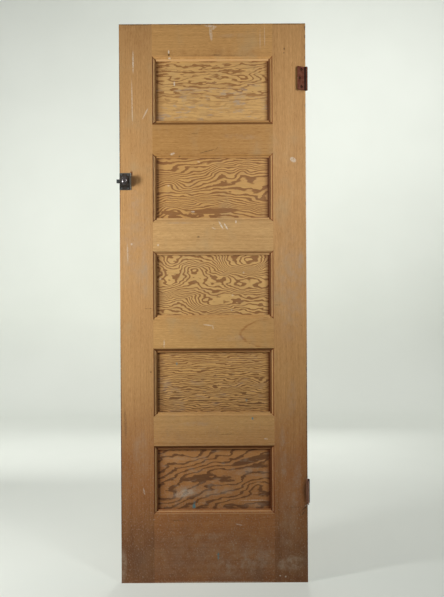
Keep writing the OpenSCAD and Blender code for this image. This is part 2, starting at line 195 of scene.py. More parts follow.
# %% [markdown]
# Every finish starts alike: a fresh material, its shader, and the place on the door in mm, so that a
# mark 40 mm long is written as 40. The place rides with the piece when it moves, which a place in
# the room would not. Soft noise, called cloud here, is what grain, fray and rust all grow from.

# %% Start a finish
MM_PER_METRE = 1 / MM


def cloud(x, y, z, detail=2.0, rough=0.5):
    """Soft noise between about -1 and 1. Each of x, y and z is a strand or a number."""
    strand = next(v for v in (x, y, z) if isinstance(v, Strand))
    where = strand.node("CombineXYZ", None, {0: x, 1: y, 2: z})
    inputs = {"Vector": where, "Scale": 1.0, "Detail": detail, "Roughness": rough}
    return strand.node("TexNoise", None, inputs) * 2 - 1


def new_finish(name):
    """A fresh material, its shader and the place on the door, across, into and up, in mm."""
    finish = bpy.data.materials.new(name)
    finish.use_nodes = True
    tree = finish.node_tree
    place = Strand(tree.nodes.new("ShaderNodeTexCoord").outputs["Object"])
    return finish, tree.nodes["Principled BSDF"], [axis * MM_PER_METRE for axis in place.split()]


def plug(shader, name, strand):
    shader.id_data.links.new(strand.socket, shader.inputs[name])


def roughen(shader, height, strength, depth):
    """Small relief: height, 0 to 1, stands for depth in metres."""
    inputs = {"Height": height, "Strength": strength, "Distance": depth}
    plug(shader, "Normal", height.node("Bump", None, inputs))


print("helpers:", [tool.__name__ for tool in (cloud, new_finish, plug, roughen)])

# %% [markdown]
# Marks are what decades left on the door: white paint, teal drips, scratches, dark dents and stains.
# Beside them are dark lines along the top and outer edges, painted shadows next to the latch and the
# hinges, and a painted highlight along the right edge. They could be painted on a picture, but here
# each is a soft ellipse on the front face, which stays crisp from close by. It is given by its middle,
# its half lengths and its lean in mm and degrees, so a scratch is only a very thin one. Noise frays
# the edges, films of haze and stain are soft, and painted shadows are smooth.

# %% Shape of a mark
WHITE = (0.74, 0.69, 0.58)
HAZE = (0.40, 0.30, 0.21)
TEAL = (0.03, 0.22, 0.26)
DARK = (0.06, 0.032, 0.018)
RUST = (0.13, 0.035, 0.012)
STAIN = (0.29, 0.120, 0.036)
# Painted shadow, for shade that the latch and the hinges cast on the wood.
PAINTED_SHADOW = (0.11, 0.055, 0.026)
FILMS = (HAZE, STAIN)
FRONT_DEPTH = (15, 13)
OUTER_SKIN = (0.6, 0.1)
ARRIS_WRAP = (0.8, 2.4)


def spot(x, z, mark, core):
    """How much a mark covers, 0 to 1. Core is the share of it that is solid."""
    middle_x, middle_z, long, short, lean = mark
    turn = math.radians(lean)
    dx = x - middle_x
    dz = z - middle_z
    u = (dx * math.cos(turn) + dz * math.sin(turn)) / long
    v = (dz * math.cos(turn) - dx * math.sin(turn)) / short
    return (u * u + v * v).rise(1.0, core)


def on_front(place):
    """1 on the front face and its mouldings, 0 on the back and on the outer edges."""
    x, y, z = place
    depth = y - door_front / MM
    right = door_right / MM
    top = door_top / MM
    outer_side = x.size().rise(right - OUTER_SKIN[0], right - OUTER_SKIN[1])
    top_edge = z.rise(top - OUTER_SKIN[0], top - OUTER_SKIN[1])
    outer = outer_side.most(top_edge) * depth.rise(*ARRIS_WRAP)
    return depth.rise(*FRONT_DEPTH) * (1 - outer)


def add_marks(colour, place, marks):
    """Paints marks, each (colour, strength, ellipse), over a colour on the front face only."""
    x, y, z = place
    front = on_front(place)
    fray = cloud(x / 3, y / 3, z / 5, 3).rise(-0.45, 0.15)
    film = cloud(x / 26, y / 26, z / 30, 5, 0.7).rise(-0.35, 0.45)
    for tint, strength, ellipse in marks:
        # Painted shadows are smooth all over.
        if tint is PAINTED_SHADOW:
            cover = spot(x, z, ellipse, 0)
        elif tint in FILMS:
            cover = spot(x, z, ellipse, 0) * film
        else:
            cover = spot(x, z, ellipse, 0.25) * fray
        colour = (cover * front * strength).blend(colour, tint)
    return colour


print("soft films:", len(FILMS), "front ends", FRONT_DEPTH[0], "mm in")

# %% [markdown]
# A rail and the stile beside it share a tide line, the thin ring that something wet leaves. It crosses
# the joint, so both boards work it out from the same middle and half lengths, and it meets by itself.
# Noise makes the ring waver and breaks it up.

# %% Ring stain
RING = (0.33, 0.135, 0.04)
STAINED = {"cross_rail_3", "hinge_stile"}
STAIN_MIDDLE = (185, 815)
STAIN_HALF = (95, 46)
STAIN_FADES = (210, 150)


def add_ring_stain(colour, place):
    """Thin brown tide line, such as a wet pot leaves."""
    x, y, z = place
    dx = (x - STAIN_MIDDLE[0]) / STAIN_HALF[0]
    dz = (z - STAIN_MIDDLE[1]) / STAIN_HALF[1]
    reach = (dx * dx + dz * dz) ** 0.5 + cloud(x / 40, y / 40, z / 40, 2) * 0.16
    patchy = cloud(x / 30, y / 30, z / 30, 2).rise(-0.5, 0.3)
    line = (reach - 1).size().rise(0.08, 0.01) * x.rise(*STAIN_FADES) * patchy
    inside = reach.rise(1.0, 0.9)
    return ((line * 0.75 + inside * 0.10) * on_front(place)).blend(colour, RING)


print("ring stain on:", sorted(STAINED))

# %% [markdown]
# The marks were noted board by board, in mm from the middle of the door and from its foot.
# Each has a colour, a strength from 0 to 1, and the ellipse: middle across, middle up, the two half
# lengths and the lean. Such a list is easy to add to, and a board's material takes only its own marks.

# %% List the marks
MARKS = {
    "top_rail": [
        (WHITE, 0.5, (-4, 1821, 24, 4, -6)), (WHITE, 0.4, (-4, 1796, 6, 27, 6)),
        (WHITE, 0.4, (4, 1814, 10, 5, 30)), (WHITE, 0.25, (157, 1778, 1.7, 40, 0)),
        (WHITE, 0.3, (172, 1786, 1.7, 44, 1)), (STAIN, 0.5, (0, 1736, 240, 17, 0)),
        (DARK, 0.3, (0, 1725, 190, 1.8, 0)),
        (DARK, 0.95, (-142, 1728, 4, 4, 0)), (WHITE, 0.9, (-142, 1738, 3, 7, 0)),
        (WHITE, 0.7, (-140, 1718, 5, 3, 0)), (DARK, 0.7, (12, 1727, 18, 1.8, 0)),
        (HAZE, 0.5, (-129, 1741, 4, 4, 0)), (HAZE, 0.35, (70, 1790, 60, 10, 2)),
        (DARK, 0.75, (0, 1829, 260, 5, 0))],
    "latch_stile": [
        (WHITE, 0.65, (-259, 1706, 2.6, 44, 0)), (WHITE, 0.4, (-263, 1575, 2.4, 88, 1)),
        (WHITE, 0.45, (-220, 1536, 3, 24, -27)), (RUST, 0.9, (-266, 1341, 5, 11, 0)),
        (WHITE, 0.6, (-267, 1109, 4, 4, 0)), (DARK, 0.55, (-213, 898, 17, 1.8, 0)),
        (DARK, 0.6, (-206, 691, 4, 4, 0)), (HAZE, 0.5, (-255, 1250, 16, 50, 4)),
        (HAZE, 0.35, (-225, 1010, 14, 90, 2)), (WHITE, 0.35, (-280, 1080, 3, 40, 1)),
        (DARK, 0.35, (-290, 520, 6, 60, 2)), (HAZE, 0.4, (-240, 420, 30, 110, 3)),
        (HAZE, 0.7, (-298, 60, 14, 70, 0)), (WHITE, 0.4, (-230, 300, 3, 14, 12)),
        # Both marks on the next line paint the shadow of the latch case and knob, on the wood to their
        # right.
        (PAINTED_SHADOW, 0.55, (-263, 1316, 17, 24, 0)), (STAIN, 0.5, (-252, 1314, 20, 30, 0)),
        (HAZE, 0.35, (-250, 1110, 60, 220, 0)),
        (STAIN, 0.3, (-250, 1829, 80, 150, 0)), (DARK, 0.75, (-250, 1829, 90, 5, 0)),
        (DARK, 0.8, (-305, 1440, 4, 420, 0)), (DARK, 0.8, (-305, 480, 4, 480, 0))],
    "hinge_stile": [
        (DARK, 0.8, (236, 1746, 3, 5, 0)), (DARK, 0.6, (235, 1733, 3, 3, 0)),
        (WHITE, 0.6, (263, 1383, 13, 9, -35)), (HAZE, 0.6, (288, 1040, 12, 62, 0)),
        (DARK, 0.45, (209, 908, 13, 1.8, 0)), (HAZE, 0.3, (240, 210, 38, 165, 0)),
        (HAZE, 0.6, (226, 420, 14, 110, 2)), (RUST, 0.2, (252, 12, 50, 14, 0)),
        (HAZE, 0.9, (252, 62, 60, 30, 6)),
        (WHITE, 0.7, (232, 19, 4, 3, 20)), (WHITE, 0.6, (214, 22, 4, 2.5, 0)),
        (DARK, 0.85, (295, 243, 15, 2.4, 42)), (DARK, 0.6, (290, 226, 9, 3, 55)),
        (WHITE, 0.4, (300, 252, 8, 2, 38)), (HAZE, 0.4, (255, 600, 20, 80, -3)),
        # The first mark below is painted shade on the wood behind the top hinge's loose leaf, seen
        # through its holes.
        (PAINTED_SHADOW, 0.9, (293, 1646, 15, 50, 0)), (DARK, 0.8, (304, 1814, 4, 9, 0)),
        (DARK, 0.7, (304, 1786, 3, 7, 0)),
        (DARK, 0.7, (304, 1752, 3, 10, 0)), (DARK, 0.6, (304, 1718, 3, 6, 0)),
        (DARK, 0.6, (304, 1560, 3, 8, 0)), (DARK, 0.6, (304, 1240, 3, 8, 0)),
        (DARK, 0.6, (304, 700, 3, 12, 0)), (HAZE, 0.6, (270, 330, 16, 120, -2)),
        (HAZE, 0.4, (250, 960, 60, 220, 0)), (DARK, 0.75, (250, 1829, 90, 5, 0)),
        # The first mark below is a painted highlight along the right edge of the door.
        (WHITE, 0.5, (306, 1330, 3.4, 480, 0)), (DARK, 0.8, (305, 480, 4, 480, 0)),
        # The first mark below is the painted shadow of the bottom hinge, on the wood to its left.
        (PAINTED_SHADOW, 0.8, (305, 301, 22, 54, 0)), (DARK, 0.4, (268, 246, 26, 2, 0))],
    "cross_rail_1": [
        (DARK, 0.7, (-18, 1412, 30, 2, 14)), (DARK, 0.6, (12, 1420, 10, 1.8, 48)),
        (DARK, 0.6, (-109, 1397, 5, 3, 40)), (WHITE, 0.6, (-132, 1404, 10, 4, 20)),
        (HAZE, 0.4, (90, 1460, 70, 12, -3)), (DARK, 0.35, (-60, 1470, 14, 3, 0))],
    "cross_rail_2": [
        (WHITE, 0.75, (26, 1170, 3, 18, 28)), (WHITE, 0.7, (42, 1166, 3, 14, 30)),
        (WHITE, 0.8, (75, 1181, 2.6, 6, 0)), (WHITE, 0.5, (2, 1160, 8, 2.4, -30)),
        (DARK, 0.7, (-49, 1132, 6, 4, 10)), (WHITE, 0.5, (-180, 1106, 4, 4, 0)),
        (HAZE, 0.4, (-110, 1178, 60, 5, 0))],
    "cross_rail_3": [
        (WHITE, 0.5, (-18, 843, 19, 2.6, -8)), (WHITE, 0.4, (-2, 836, 2.4, 8, 10)),
        (WHITE, 0.4, (-162, 783, 3, 16, 0)), (DARK, 0.5, (-198, 862, 8, 1.8, 0)),
        (HAZE, 0.35, (60, 800, 80, 12, 2))],
    "cross_rail_4": [
        (TEAL, 0.9, (126, 537, 4, 5, 0)), (WHITE, 0.5, (170, 470, 8, 2.4, -10)),
        (HAZE, 0.4, (-60, 520, 70, 10, 0)), (DARK, 0.4, (40, 486, 30, 2, 3))],
    "bottom_rail": [
        (TEAL, 0.9, (12, 88, 3.4, 16, 0)), (HAZE, 0.3, (-60, 150, 150, 14, 4)),
        (HAZE, 0.6, (110, 60, 170, 50, 8)), (HAZE, 0.25, (0, 105, 290, 60, 3)),
        (HAZE, 0.2, (-120, 45, 140, 32, -3)), (WHITE, 0.3, (0, 2, 230, 3, 0)),
        (WHITE, 0.4, (80, 190, 14, 2.4, -12)), (DARK, 0.4, (-120, 205, 30, 2, 2))],
    "panel_1": [
        (WHITE, 0.8, (-125, 1637, 3, 9, 0)), (WHITE, 0.6, (-66, 1714, 30, 2.4, 0)),
        (WHITE, 0.75, (40, 1714, 30, 2.6, 0))],
    "panel_2": [
        (WHITE, 0.6, (-66, 1216, 8, 3, 0)), (WHITE, 0.45, (-146, 1302, 4, 3, 0)),
        (WHITE, 0.5, (-46, 1380, 5, 3, -30))],
    "panel_3": [
        (WHITE, 0.4, (100, 1015, 4, 4, 0)), (WHITE, 0.35, (63, 940, 4, 4, 0)),
        (WHITE, 0.5, (60, 892, 3.5, 3, 0)), (WHITE, 0.4, (-175, 995, 6, 3, 30))],
    "panel_4": [
        (TEAL, 0.75, (-122, 716, 4, 6, 0)), (TEAL, 0.7, (107, 594, 4, 5, 0)),
        (HAZE, 0.5, (-150, 640, 20, 40, 0))],
    "panel_5": [
        (HAZE, 0.95, (-95, 293, 70, 26, 14)), (HAZE, 0.8, (0, 292, 75, 16, 10)),
        (WHITE, 0.3, (-100, 290, 40, 14, 12)), (HAZE, 0.9, (100, 362, 40, 14, 14)),
        (WHITE, 0.6, (128, 266, 50, 1.8, 0)), (TEAL, 0.95, (-68, 247, 8, 9, 0)),
        (TEAL, 0.8, (-66, 258, 4, 10, 0)), (HAZE, 0.5, (130, 250, 50, 12, 0))],
}
print("marks:", sum(len(v) for v in MARKS.values()))

# %% [markdown]
# The stiles and rails are straight-grained softwood that has been stripped and handled. Grain can be
# painted, but here it is grown: noise stretched hard along the board gives the fibres, thin lines
# across it give the year rings, and slow noise gives blotches where old finish stayed in.

# %% Straight grain
def board_grain(along, across, y, seed):
    """Year lines, fibres, flecks and blotches of one straight board, each about -1 to 1."""
    waver = cloud(along / 260, across / 60, seed, 1) * 5
    ring = across + y * 0.7 + waver
    lines = cloud(along / 420, ring / 4.2, seed + 3.1, 1, 0.6)
    fibres = cloud(along / 90, ring / 1.6, seed + 7.7, 2, 0.6)
    flecks = cloud(along / 16, ring / 2.7, seed + 5.9, 3, 0.7)
    blotch = cloud(along / 170, across / 70, seed + 11.3, 4, 0.6)
    sweep = cloud(along / 700, ring / 17, seed + 15.1, 2, 0.6)
    return lines, fibres, flecks, blotch * 0.6 + sweep * 0.6


print("grain has year lines, fibres, flecks and blotches")

# %% [markdown]
# Old wood isn't one colour. Dirt sits where mouldings meet, the wood turns redder and darker towards
# the foot, and pits and specks of paint lie everywhere. A picture for each board could hold that, but
# all of it follows from the place on the door, so sums on the place age boards and panels alike.

# %% Age and dirt
GREY = (0.40, 0.30, 0.165)
# Dark brown for dirt in pits, mitres and quirks, and for painted shade under the rails.
GRIME_AND_SHADE = (0.155, 0.031, 0.005)
RED_WASH = (0.70, 0.54, 0.50)
RED_HEIGHTS = (700, 330)
FOOT_WASH = (0.58, 0.60, 0.75)
FOOT_HEIGHTS = (350, 60)
PIT_HEIGHTS = (750, 200)
SPECK_HEIGHTS = (1700, 100)
SPLASH_HEIGHTS = (760, 150)


def beside_opening(z):
    """1 beside the five openings, 0 beside the rails."""
    share = ((z - LOWEST_OPENING) / OPENING_STEP).part()
    above_lowest = z.rise(LOWEST_OPENING, LOWEST_OPENING + 3)
    return share.rise(OPENING_SHARE, OPENING_SHARE - 0.01) * above_lowest


def mitres(x, z):
    """Thin dark lines where the mouldings of stile and rail meet at 45 degrees."""
    inside = -face_edge / MM - x.size()
    share = ((z - LOWEST_OPENING) / OPENING_STEP).part()
    above = share * OPENING_STEP
    below = (OPENING_SHARE - share) * OPENING_STEP
    off_line = (inside - above).size().least((inside - below).size())
    in_moulding = inside.rise(-1.0, 0.5) * inside.rise(MOULDING / MM + 1, MOULDING / MM)
    above_lowest = z.rise(LOWEST_OPENING - 2, LOWEST_OPENING)
    below_highest = z.rise(HIGHEST_OPENING + 2, HIGHEST_OPENING)
    return off_line.rise(2.4, 0.8) * in_moulding * (above_lowest * below_highest)


def age(colour, place):
    """Grey bloom, wood redder and darker towards the foot, dark pits and pale specks."""
    x, y, z = place
    grey = cloud(x / 90, y / 90, z / 140, 4, 0.6).rise(0.0, 0.6) * 0.45
    colour = grey.blend(colour, GREY)
    uneven = cloud(x / 50, y / 50, z / 70, 4, 0.6) * 0.35 + 0.95
    colour = (z.rise(*RED_HEIGHTS) * uneven).blend(colour, RED_WASH, "MULTIPLY")
    colour = (z.rise(*FOOT_HEIGHTS) * uneven).blend(colour, FOOT_WASH, "MULTIPLY")
    pits = cloud(x / 4.6, y / 4.6, z / 5.2, 2).rise(0.34, 0.6)
    colour = (pits * (z.rise(*PIT_HEIGHTS) * 0.35 + 0.5)).blend(colour, GRIME_AND_SHADE)
    specks = cloud(x / 4.6, y / 4.6, z / 4.6 + 40, 2).rise(0.38, 0.64) * z.rise(*SPECK_HEIGHTS)
    colour = (specks * 0.36).blend(colour, WHITE)
    splash = cloud(x / 4.5, y / 4.5, z / 6 + 80, 3, 0.7).rise(0.08, 0.36) * z.rise(*SPLASH_HEIGHTS)
    return (splash * 0.6).blend(colour, HAZE), pits


print("openings start", round(LOWEST_OPENING), "mm up and repeat every", round(OPENING_STEP), "mm")

# %% [markdown]
# No two boards look alike, so each gets a material of its own: the same recipe with another seed, its
# own tone and its own marks. Pale and deep wood are mixed by the grain, age and dirt go over
# them, and a small relief lets the fibres catch the light.

# %% Wood of one board
PALE = (0.63, 0.37, 0.150)
MID = (0.50, 0.282, 0.106)
DEEP = (0.34, 0.168, 0.054)
WAX_LEFT = 0.15
TONES = {
    "latch_stile": (0.96, 0.94, 0.95),
    "hinge_stile": (0.98, 0.95, 0.94),
    "top_rail": (1.06, 1.03, 0.94),
    "cross_rail_1": (0.88, 0.82, 0.69),
    "cross_rail_2": (1.07, 1.13, 1.18),
    "cross_rail_3": (1.05, 1.06, 1.0),
    "cross_rail_4": (1.15, 1.26, 1.28),
    "bottom_rail": (1.20, 1.13, 1.04)}


def wood_finish(name, upright, seed, marks, bands):
    """Wood of one board. Bands along the grain are (colour, strength, middle across, half width)."""
    finish, shader, place = new_finish(name + "_wood")
    x, y, z = place
    along, across = (z, x) if upright else (x, z)
    lines, fibres, flecks, blotch = board_grain(along, across, y, seed)
    tone = lines * 0.30 + fibres * 0.36 + flecks * 0.70 + blotch * 0.28
    colour = tone.rise(-0.75, 0.75).blend(DEEP, PALE)
    colour = (0.45 - tone.size() * 1.2).blend(colour, MID)
    colour, pits = age(colour.wash(TONES[name]), place)
    if name in STAINED:
        colour = add_ring_stain(colour, place)
    for tint, strength, middle, half in bands:
        cover = (across - middle).size().rise(half, half * 0.4) * strength
        if upright:
            cover = cover * beside_opening(z)
        colour = (cover * (fibres * 0.3 + 0.9)).blend(colour, tint)
    colour = (mitres(x, z) * 0.8).blend(colour, GRIME_AND_SHADE)
    colour = add_marks(colour, place, marks)
    plug(shader, "Base Color", colour)
    plug(shader, "Roughness", 0.56 + fibres * 0.1 + blotch * 0.08)
    shader.inputs["Specular IOR Level"].default_value = WAX_LEFT
    roughen(shader, lines * 0.2 + fibres * 0.2 + flecks * 0.25 - pits * 0.3 + 0.5, 0.6, 0.5 * MM)
    return finish


print("boards with a tone:", len(TONES))

# %% [markdown]
# Bands run along the moulded edges: dirt and painted shade in the quirk, a painted highlight on the
# round of the moulding, and painted shade at its inner edge and along the rails, where shade falls.
# They could be cut into the mouldings as lines, but they are colour, not shape. Each is measured from
# the edge of its own board, so it stays in place if the board is made wider.

# %% Dress the boards
# Painted shade, for the deepest shade on mouldings and at the right edge of panels.
PAINTED_SHADE = (0.085, 0.020, 0.003)
# Painted highlight, for light on the round of a moulding.
PAINTED_HIGHLIGHT = (0.82, 0.53, 0.25)


def dress(name, finish):
    """Gives a piece its one material."""
    slots = pieces[name].data.materials
    slots.clear()
    slots.append(finish)


stile_edges = {
    "latch_stile": {"inward": 1, "rubbed": 0.85, "rubbed_half": 2.6, "shade_at": 11.7, "shade_half": 2.7},
    "hinge_stile": {"inward": -1, "rubbed": 0.1, "rubbed_half": 2.2, "shade_at": 10.2, "shade_half": 4.4}}
for seed, (name, edge) in enumerate(stile_edges.items()):
    inward = edge["inward"]
    joint = inward * face_edge / MM
    bands = [
        # Dirt and painted shade in the quirk, painted highlight, painted shade inside.
        (GRIME_AND_SHADE, 0.85, joint + inward * 1.7, 2.0),
        (PAINTED_HIGHLIGHT, edge["rubbed"], joint + inward * 5.0, edge["rubbed_half"]),
        (PAINTED_SHADE, 0.9, joint + inward * edge["shade_at"], edge["shade_half"])]
    dress(name, wood_finish(name, True, 3.0 + 9.7 * seed, MARKS[name], bands))

rail_shade = {
    "top_rail": {"ledge": 0.0, "soffit": 0.0},
    "cross_rail_1": {"ledge": 0.8, "soffit": 0.0},
    "cross_rail_2": {"ledge": 0.15, "soffit": 0.4},
    "cross_rail_3": {"ledge": 0.0, "soffit": 0.85},
    "cross_rail_4": {"ledge": 0.1, "soffit": 0.9},
    "bottom_rail": {"ledge": 0.15, "soffit": 0.0}}
groove = MOULDING / MM - 1.5
for seed, (name, shading) in enumerate(rail_shade.items()):
    low, high = (corner[2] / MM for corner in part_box(name))
    # Painted shade on the mouldings above and below each rail, where shade falls.
    bands = [
        (PAINTED_SHADE, shading["ledge"], high - groove, 4.4),
        (GRIME_AND_SHADE, shading["soffit"] * 0.7, low + 5, 7),
        (PAINTED_SHADE, shading["soffit"], low + groove - 1, 4.2)]
    # Painted highlights along the mouldings of the top and bottom rails.
    if name == "top_rail":
        bands.append((PAINTED_HIGHLIGHT, 0.6, low + 2, 5))
    if name == "bottom_rail":
        bands += [(PAINTED_HIGHLIGHT, 0.4, high - 5.5, 2.4), (PAINTED_HIGHLIGHT, 0.3, high - 12, 1.8)]
    dress(name, wood_finish(name, False, 31.0 + 8.3 * seed, MARKS[name], bands))
print("boards dressed:", len(stile_edges) + len(rail_shade))

# %% [markdown]
# The panels were peeled from a log in one sheet, so the blade cut each year ring at a very low angle
# and the rings spread into loops and islands, like height lines on a map. That is how they are made
# here: a slope gives plain lines, hills given one by one turn them into eyes and waves, and a year ring
# ends wherever the height passes a whole number. The late wood of each ring is the dark band.
# For each panel, slope is in years per mm, across and up, and wobble is the length, height and years
# of a slow wave. Late is the dark share of a ring, comb the strength of fine lines and head the shade
# under the rail above. Broken, fade and grey say where lines break up, fade or turn grey. Hills and
# dark patches are given by their middles and half lengths.

# %% Figure of the panels
LATE = (0.222, 0.092, 0.033)
LATE_DEEP = (0.122, 0.053, 0.024)
LATE_SOFT = (0.262, 0.112, 0.038)
UNBROKEN = {"broken": -2.0, "fade": (-200, -190), "patches": []}
FIGURES = {
    "panel_1": {
        "seed": 4, "slope": (0.0, 0.055), "wobble": (72, 17, 1.6), "tone": (1.06, 1.06, 1.05),
        "late": 0.38, "late_woods": (LATE_SOFT, LATE_SOFT), "comb": 0.45, "head": 0.1,
        "broken": -0.25, "fade": (-50, 5), "patches": [], "grey": (1.0, 50, -30),
        "hills": [(-115, 43, 25, 9, 1.3), (-75, 48, 40, 9, 0.7), (22, 43, 15, 6, 0.8),
                  (100, 42, 34, 14, 1.5), (190, 60, 50, 26, -3.0), (50, 88, 30, 10, 0.7),
                  (75, -5, 60, 22, 0.8), (20, -35, 25, 30, 0.8)]},
    "panel_2": {
        **UNBROKEN, "seed": 5, "slope": (0.0, 0.10), "wobble": (110, 44, 2.4),
        "tone": (0.95, 0.90, 0.82), "late": 0.46, "late_woods": (LATE, LATE),
        "comb": 0.15, "head": 0.2, "grey": (0.1, 500, 400),
        "patches": [(5, -74, 88, 10, 2), (-140, -80, 36, 8, -5)],
        "hills": [(-170, 55, 110, 38, 2.5), (185, 45, 110, 36, -3.5), (25, 52, 34, 26, -2.6),
                  (95, 55, 25, 24, -2.0), (-150, 18, 30, 18, -2.6), (-85, 6, 35, 18, 2.2),
                  (20, -74, 120, 26, -3.2), (-20, -47, 45, 16, -1.6), (-135, -72, 40, 26, -2.8),
                  (165, -48, 60, 22, 2.8)]},
    "panel_3": {
        **UNBROKEN, "seed": 6, "slope": (0.02, 0.085), "wobble": (62, 36, 2.2),
        "tone": (1.04, 1.06, 1.07), "late": 0.45, "late_woods": (LATE, LATE),
        "comb": 0.15, "head": 0.15, "grey": (0.1, 500, 400),
        "hills": [(-170, 0, 80, 44, 7.0), (-135, 74, 45, 24, 3.0), (-14, -60, 95, 26, 4.2),
                  (0, -5, 50, 22, 2.6), (80, -4, 40, 24, 3.0), (160, -6, 35, 18, 2.0),
                  (100, 75, 50, 32, 5.6), (150, 80, 40, 32, 3.2), (45, 72, 30, 34, 3.4),
                  (-60, 60, 34, 30, -2.8), (-100, -50, 40, 34, -3.4)]},
    "panel_4": {
        **UNBROKEN, "seed": 7, "slope": (0.0, 0.165), "wobble": (62, 15, 1.6),
        "tone": (0.98, 0.95, 0.90), "late": 0.46, "late_woods": (LATE_DEEP, LATE),
        "comb": 0.25, "head": 0.35, "grey": (0.3, 500, 400),
        "hills": [(5, -18, 18, 10, 1.5), (55, 3, 22, 11, 1.6), (150, 0, 28, 14, 2.0),
                  (-60, 25, 50, 20, 1.4)]},
    "panel_5": {
        **UNBROKEN, "seed": 8, "slope": (-0.014, 0.040), "wobble": (78, 30, 1.3),
        "tone": (1.00, 0.95, 0.92), "late": 0.37, "late_woods": (LATE_DEEP, LATE_DEEP),
        "comb": 0.15, "head": 0.6, "grey": (0.35, 500, 400),
        "patches": [(122, 63, 74, 11, 15), (-75, 2, 38, 7, 8), (168, -80, 30, 9, 0)],
        "hills": [(-10, 20, 120, 30, -1.2), (75, -10, 50, 22, 0.9), (130, -30, 34, 30, -1.3),
                  (-150, -60, 50, 24, 1.2), (40, -85, 60, 20, -1.2), (-60, 78, 40, 14, 0.9)]},
}
print("hills placed:", sum(len(figure["hills"]) for figure in FIGURES.values()))

# %% [markdown]
# Now the slope, the hills and the noise are added up to a height in years. The fraction of a year tells
# early wood from late wood, as it does in the tree, where pale wood grows in spring and dark wood ends
# the year with a sharp line.

# %% Rings of the panels
def year_rings(u, w, figure):
    """Height of the log's rings over the panel, counted in years."""
    long, high, amount = figure["wobble"]
    seed = figure["seed"]
    drift = w + cloud(u / 55, w / 22, seed + 40.5, 1) * 5
    years = u * figure["slope"][0] + drift * figure["slope"][1]
    for hill_u, hill_w, half_u, half_w, height in figure["hills"]:
        across = (u - hill_u) / half_u
        up = (drift - hill_w) / half_w
        years = years + (across * across + up * up).bell() * height
    jags = cloud(u / 13, w / 5, seed + 33.5, 2) * 0.22
    return years + cloud(u / long, w / high, seed + 0.5, 2) * amount + jags


def late_bands(x, w, figure):
    """1 in the dark late wood of each ring and in dark patches, 0 in the pale early wood."""
    seed = figure["seed"]
    late = figure["late"]
    broken = figure["broken"]
    ring = year_rings(x, w, figure).part()
    dark = ring.rise(1 - late - 0.08, 1 - late + 0.1) * ring.rise(1.0, 0.95)
    whole = cloud(x / 40, w / 9, seed + 60.5, 2).rise(broken - 0.2, broken + 0.2)
    dark = dark * whole * (w.rise(*figure["fade"]) * 0.65 + 0.35)
    ragged = x + cloud(x / 20, w / 6, seed + 70.5, 2) * 14
    for patch in figure["patches"]:
        dark = dark.most(spot(ragged, w, patch, 0.7))
    return dark


print("panels with dark patches:", [name for name, figure in FIGURES.items() if figure["patches"]])

# %% [markdown]
# The figure is then coloured in: pale wood with fine combed lines, dark wood over it, a grey film, and
# painted shade at the edges, where the frame shades the panel. A panel is deep in its frame, so a broad
# soft painted shade at its sides does more for the depth than a sharp line would.

# %% Dress the panels
EARLY = (0.655, 0.398, 0.146)
EARLY_DULL = (0.50, 0.290, 0.108)
SHADE = (0.28, 0.14, 0.075)
RIGHT_WIDE = 20
LEFT_WIDE = 31
HEAD_HIGH = 14
RIGHT_SHADOW_WIDE = 7


def edge_shade(x, w, half_wide, half_high, head_strength):
    """Painted shade along the four edges of a panel, strongest at the right."""
    right = (x - half_wide + RIGHT_WIDE).rise(0, RIGHT_WIDE) * 0.95
    left = (LEFT_WIDE - half_wide - x).rise(0, LEFT_WIDE) * 0.68
    foot = (half_high - 5 + w).rise(7, 0) * 0.15
    head = (w - half_high + HEAD_HIGH).rise(0, HEAD_HIGH) * head_strength
    return right + left + foot + head


def panel_finish(name, figure, marks):
    """Wood of one panel, w being the height above its middle."""
    finish, shader, place = new_finish(name + "_wood")
    x, y, z = place
    low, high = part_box(name)
    middle = (low[2] + high[2]) / 2 / MM
    half_wide = (high[0] - PANEL_HELD) / MM
    half_high = (high[2] - low[2]) / 2 / MM - PANEL_HELD / MM
    w = z - middle
    seed = figure["seed"]
    dark = late_bands(x, w, figure)
    fibres = cloud(x / 30, w / 1.6, y / 4 + seed, 2, 0.6)
    blotch = cloud(x / 80, w / 30, seed + 20.5, 4, 0.6)
    early = (fibres * 0.45 + blotch * 0.5).rise(-0.6, 0.6).blend(EARLY_DULL, EARLY)
    comb = cloud(x / 90, w / 2.6, seed + 90.5, 2, 0.6).rise(0.0, 0.4) * figure["comb"]
    early, pits = age(comb.blend(early.wash(figure["tone"]), LATE), place)
    late_wood = w.rise(-half_high, half_high).blend(*figure["late_woods"])
    colour = (dark * (fibres * 0.25 + 0.85)).blend(early, late_wood)
    grey = cloud(x / 45, w / 16, seed + 80.5, 4, 0.6).rise(0.05, 0.45)
    strength, grey_from, grey_full = figure["grey"]
    colour = (grey * w.rise(grey_from, grey_full) * strength).blend(colour, HAZE)
    shade = edge_shade(x, w, half_wide, half_high, figure["head"])
    colour = (shade * (fibres * 0.3 + 0.85)).blend(colour, SHADE, "MULTIPLY")
    # A painted shadow along the right edge of the panel.
    colour = ((x - half_wide + RIGHT_SHADOW_WIDE).rise(0, 5) * 0.85).blend(colour, PAINTED_SHADE)
    plug(shader, "Base Color", add_marks(colour, place, marks))
    plug(shader, "Roughness", 0.5 + fibres * 0.08 + dark * 0.08)
    shader.inputs["Specular IOR Level"].default_value = WAX_LEFT
    roughen(shader, dark * 0.5 + fibres * 0.3 - pits * 0.3 + 0.3, 0.5, 0.4 * MM)
    return finish


for name, figure in FIGURES.items():
    dress(name, panel_finish(name, figure, MARKS[name]))
print("panels dressed:", len(FIGURES))

# %% [markdown]
# The hinges are bare steel that has rusted to a dull red-brown, and the latch is black japanned iron
# that has gone brown in places. Rust could be brushed on, but it grows everywhere, inside too, so one
# recipe serves all the metal: two tones and a bloom of rust, from noise at two sizes.

# %% Recipe for old metal
# Pale metal, for the painted highlight on the latch case.
METAL_HIGHLIGHT = (0.46, 0.45, 0.39)
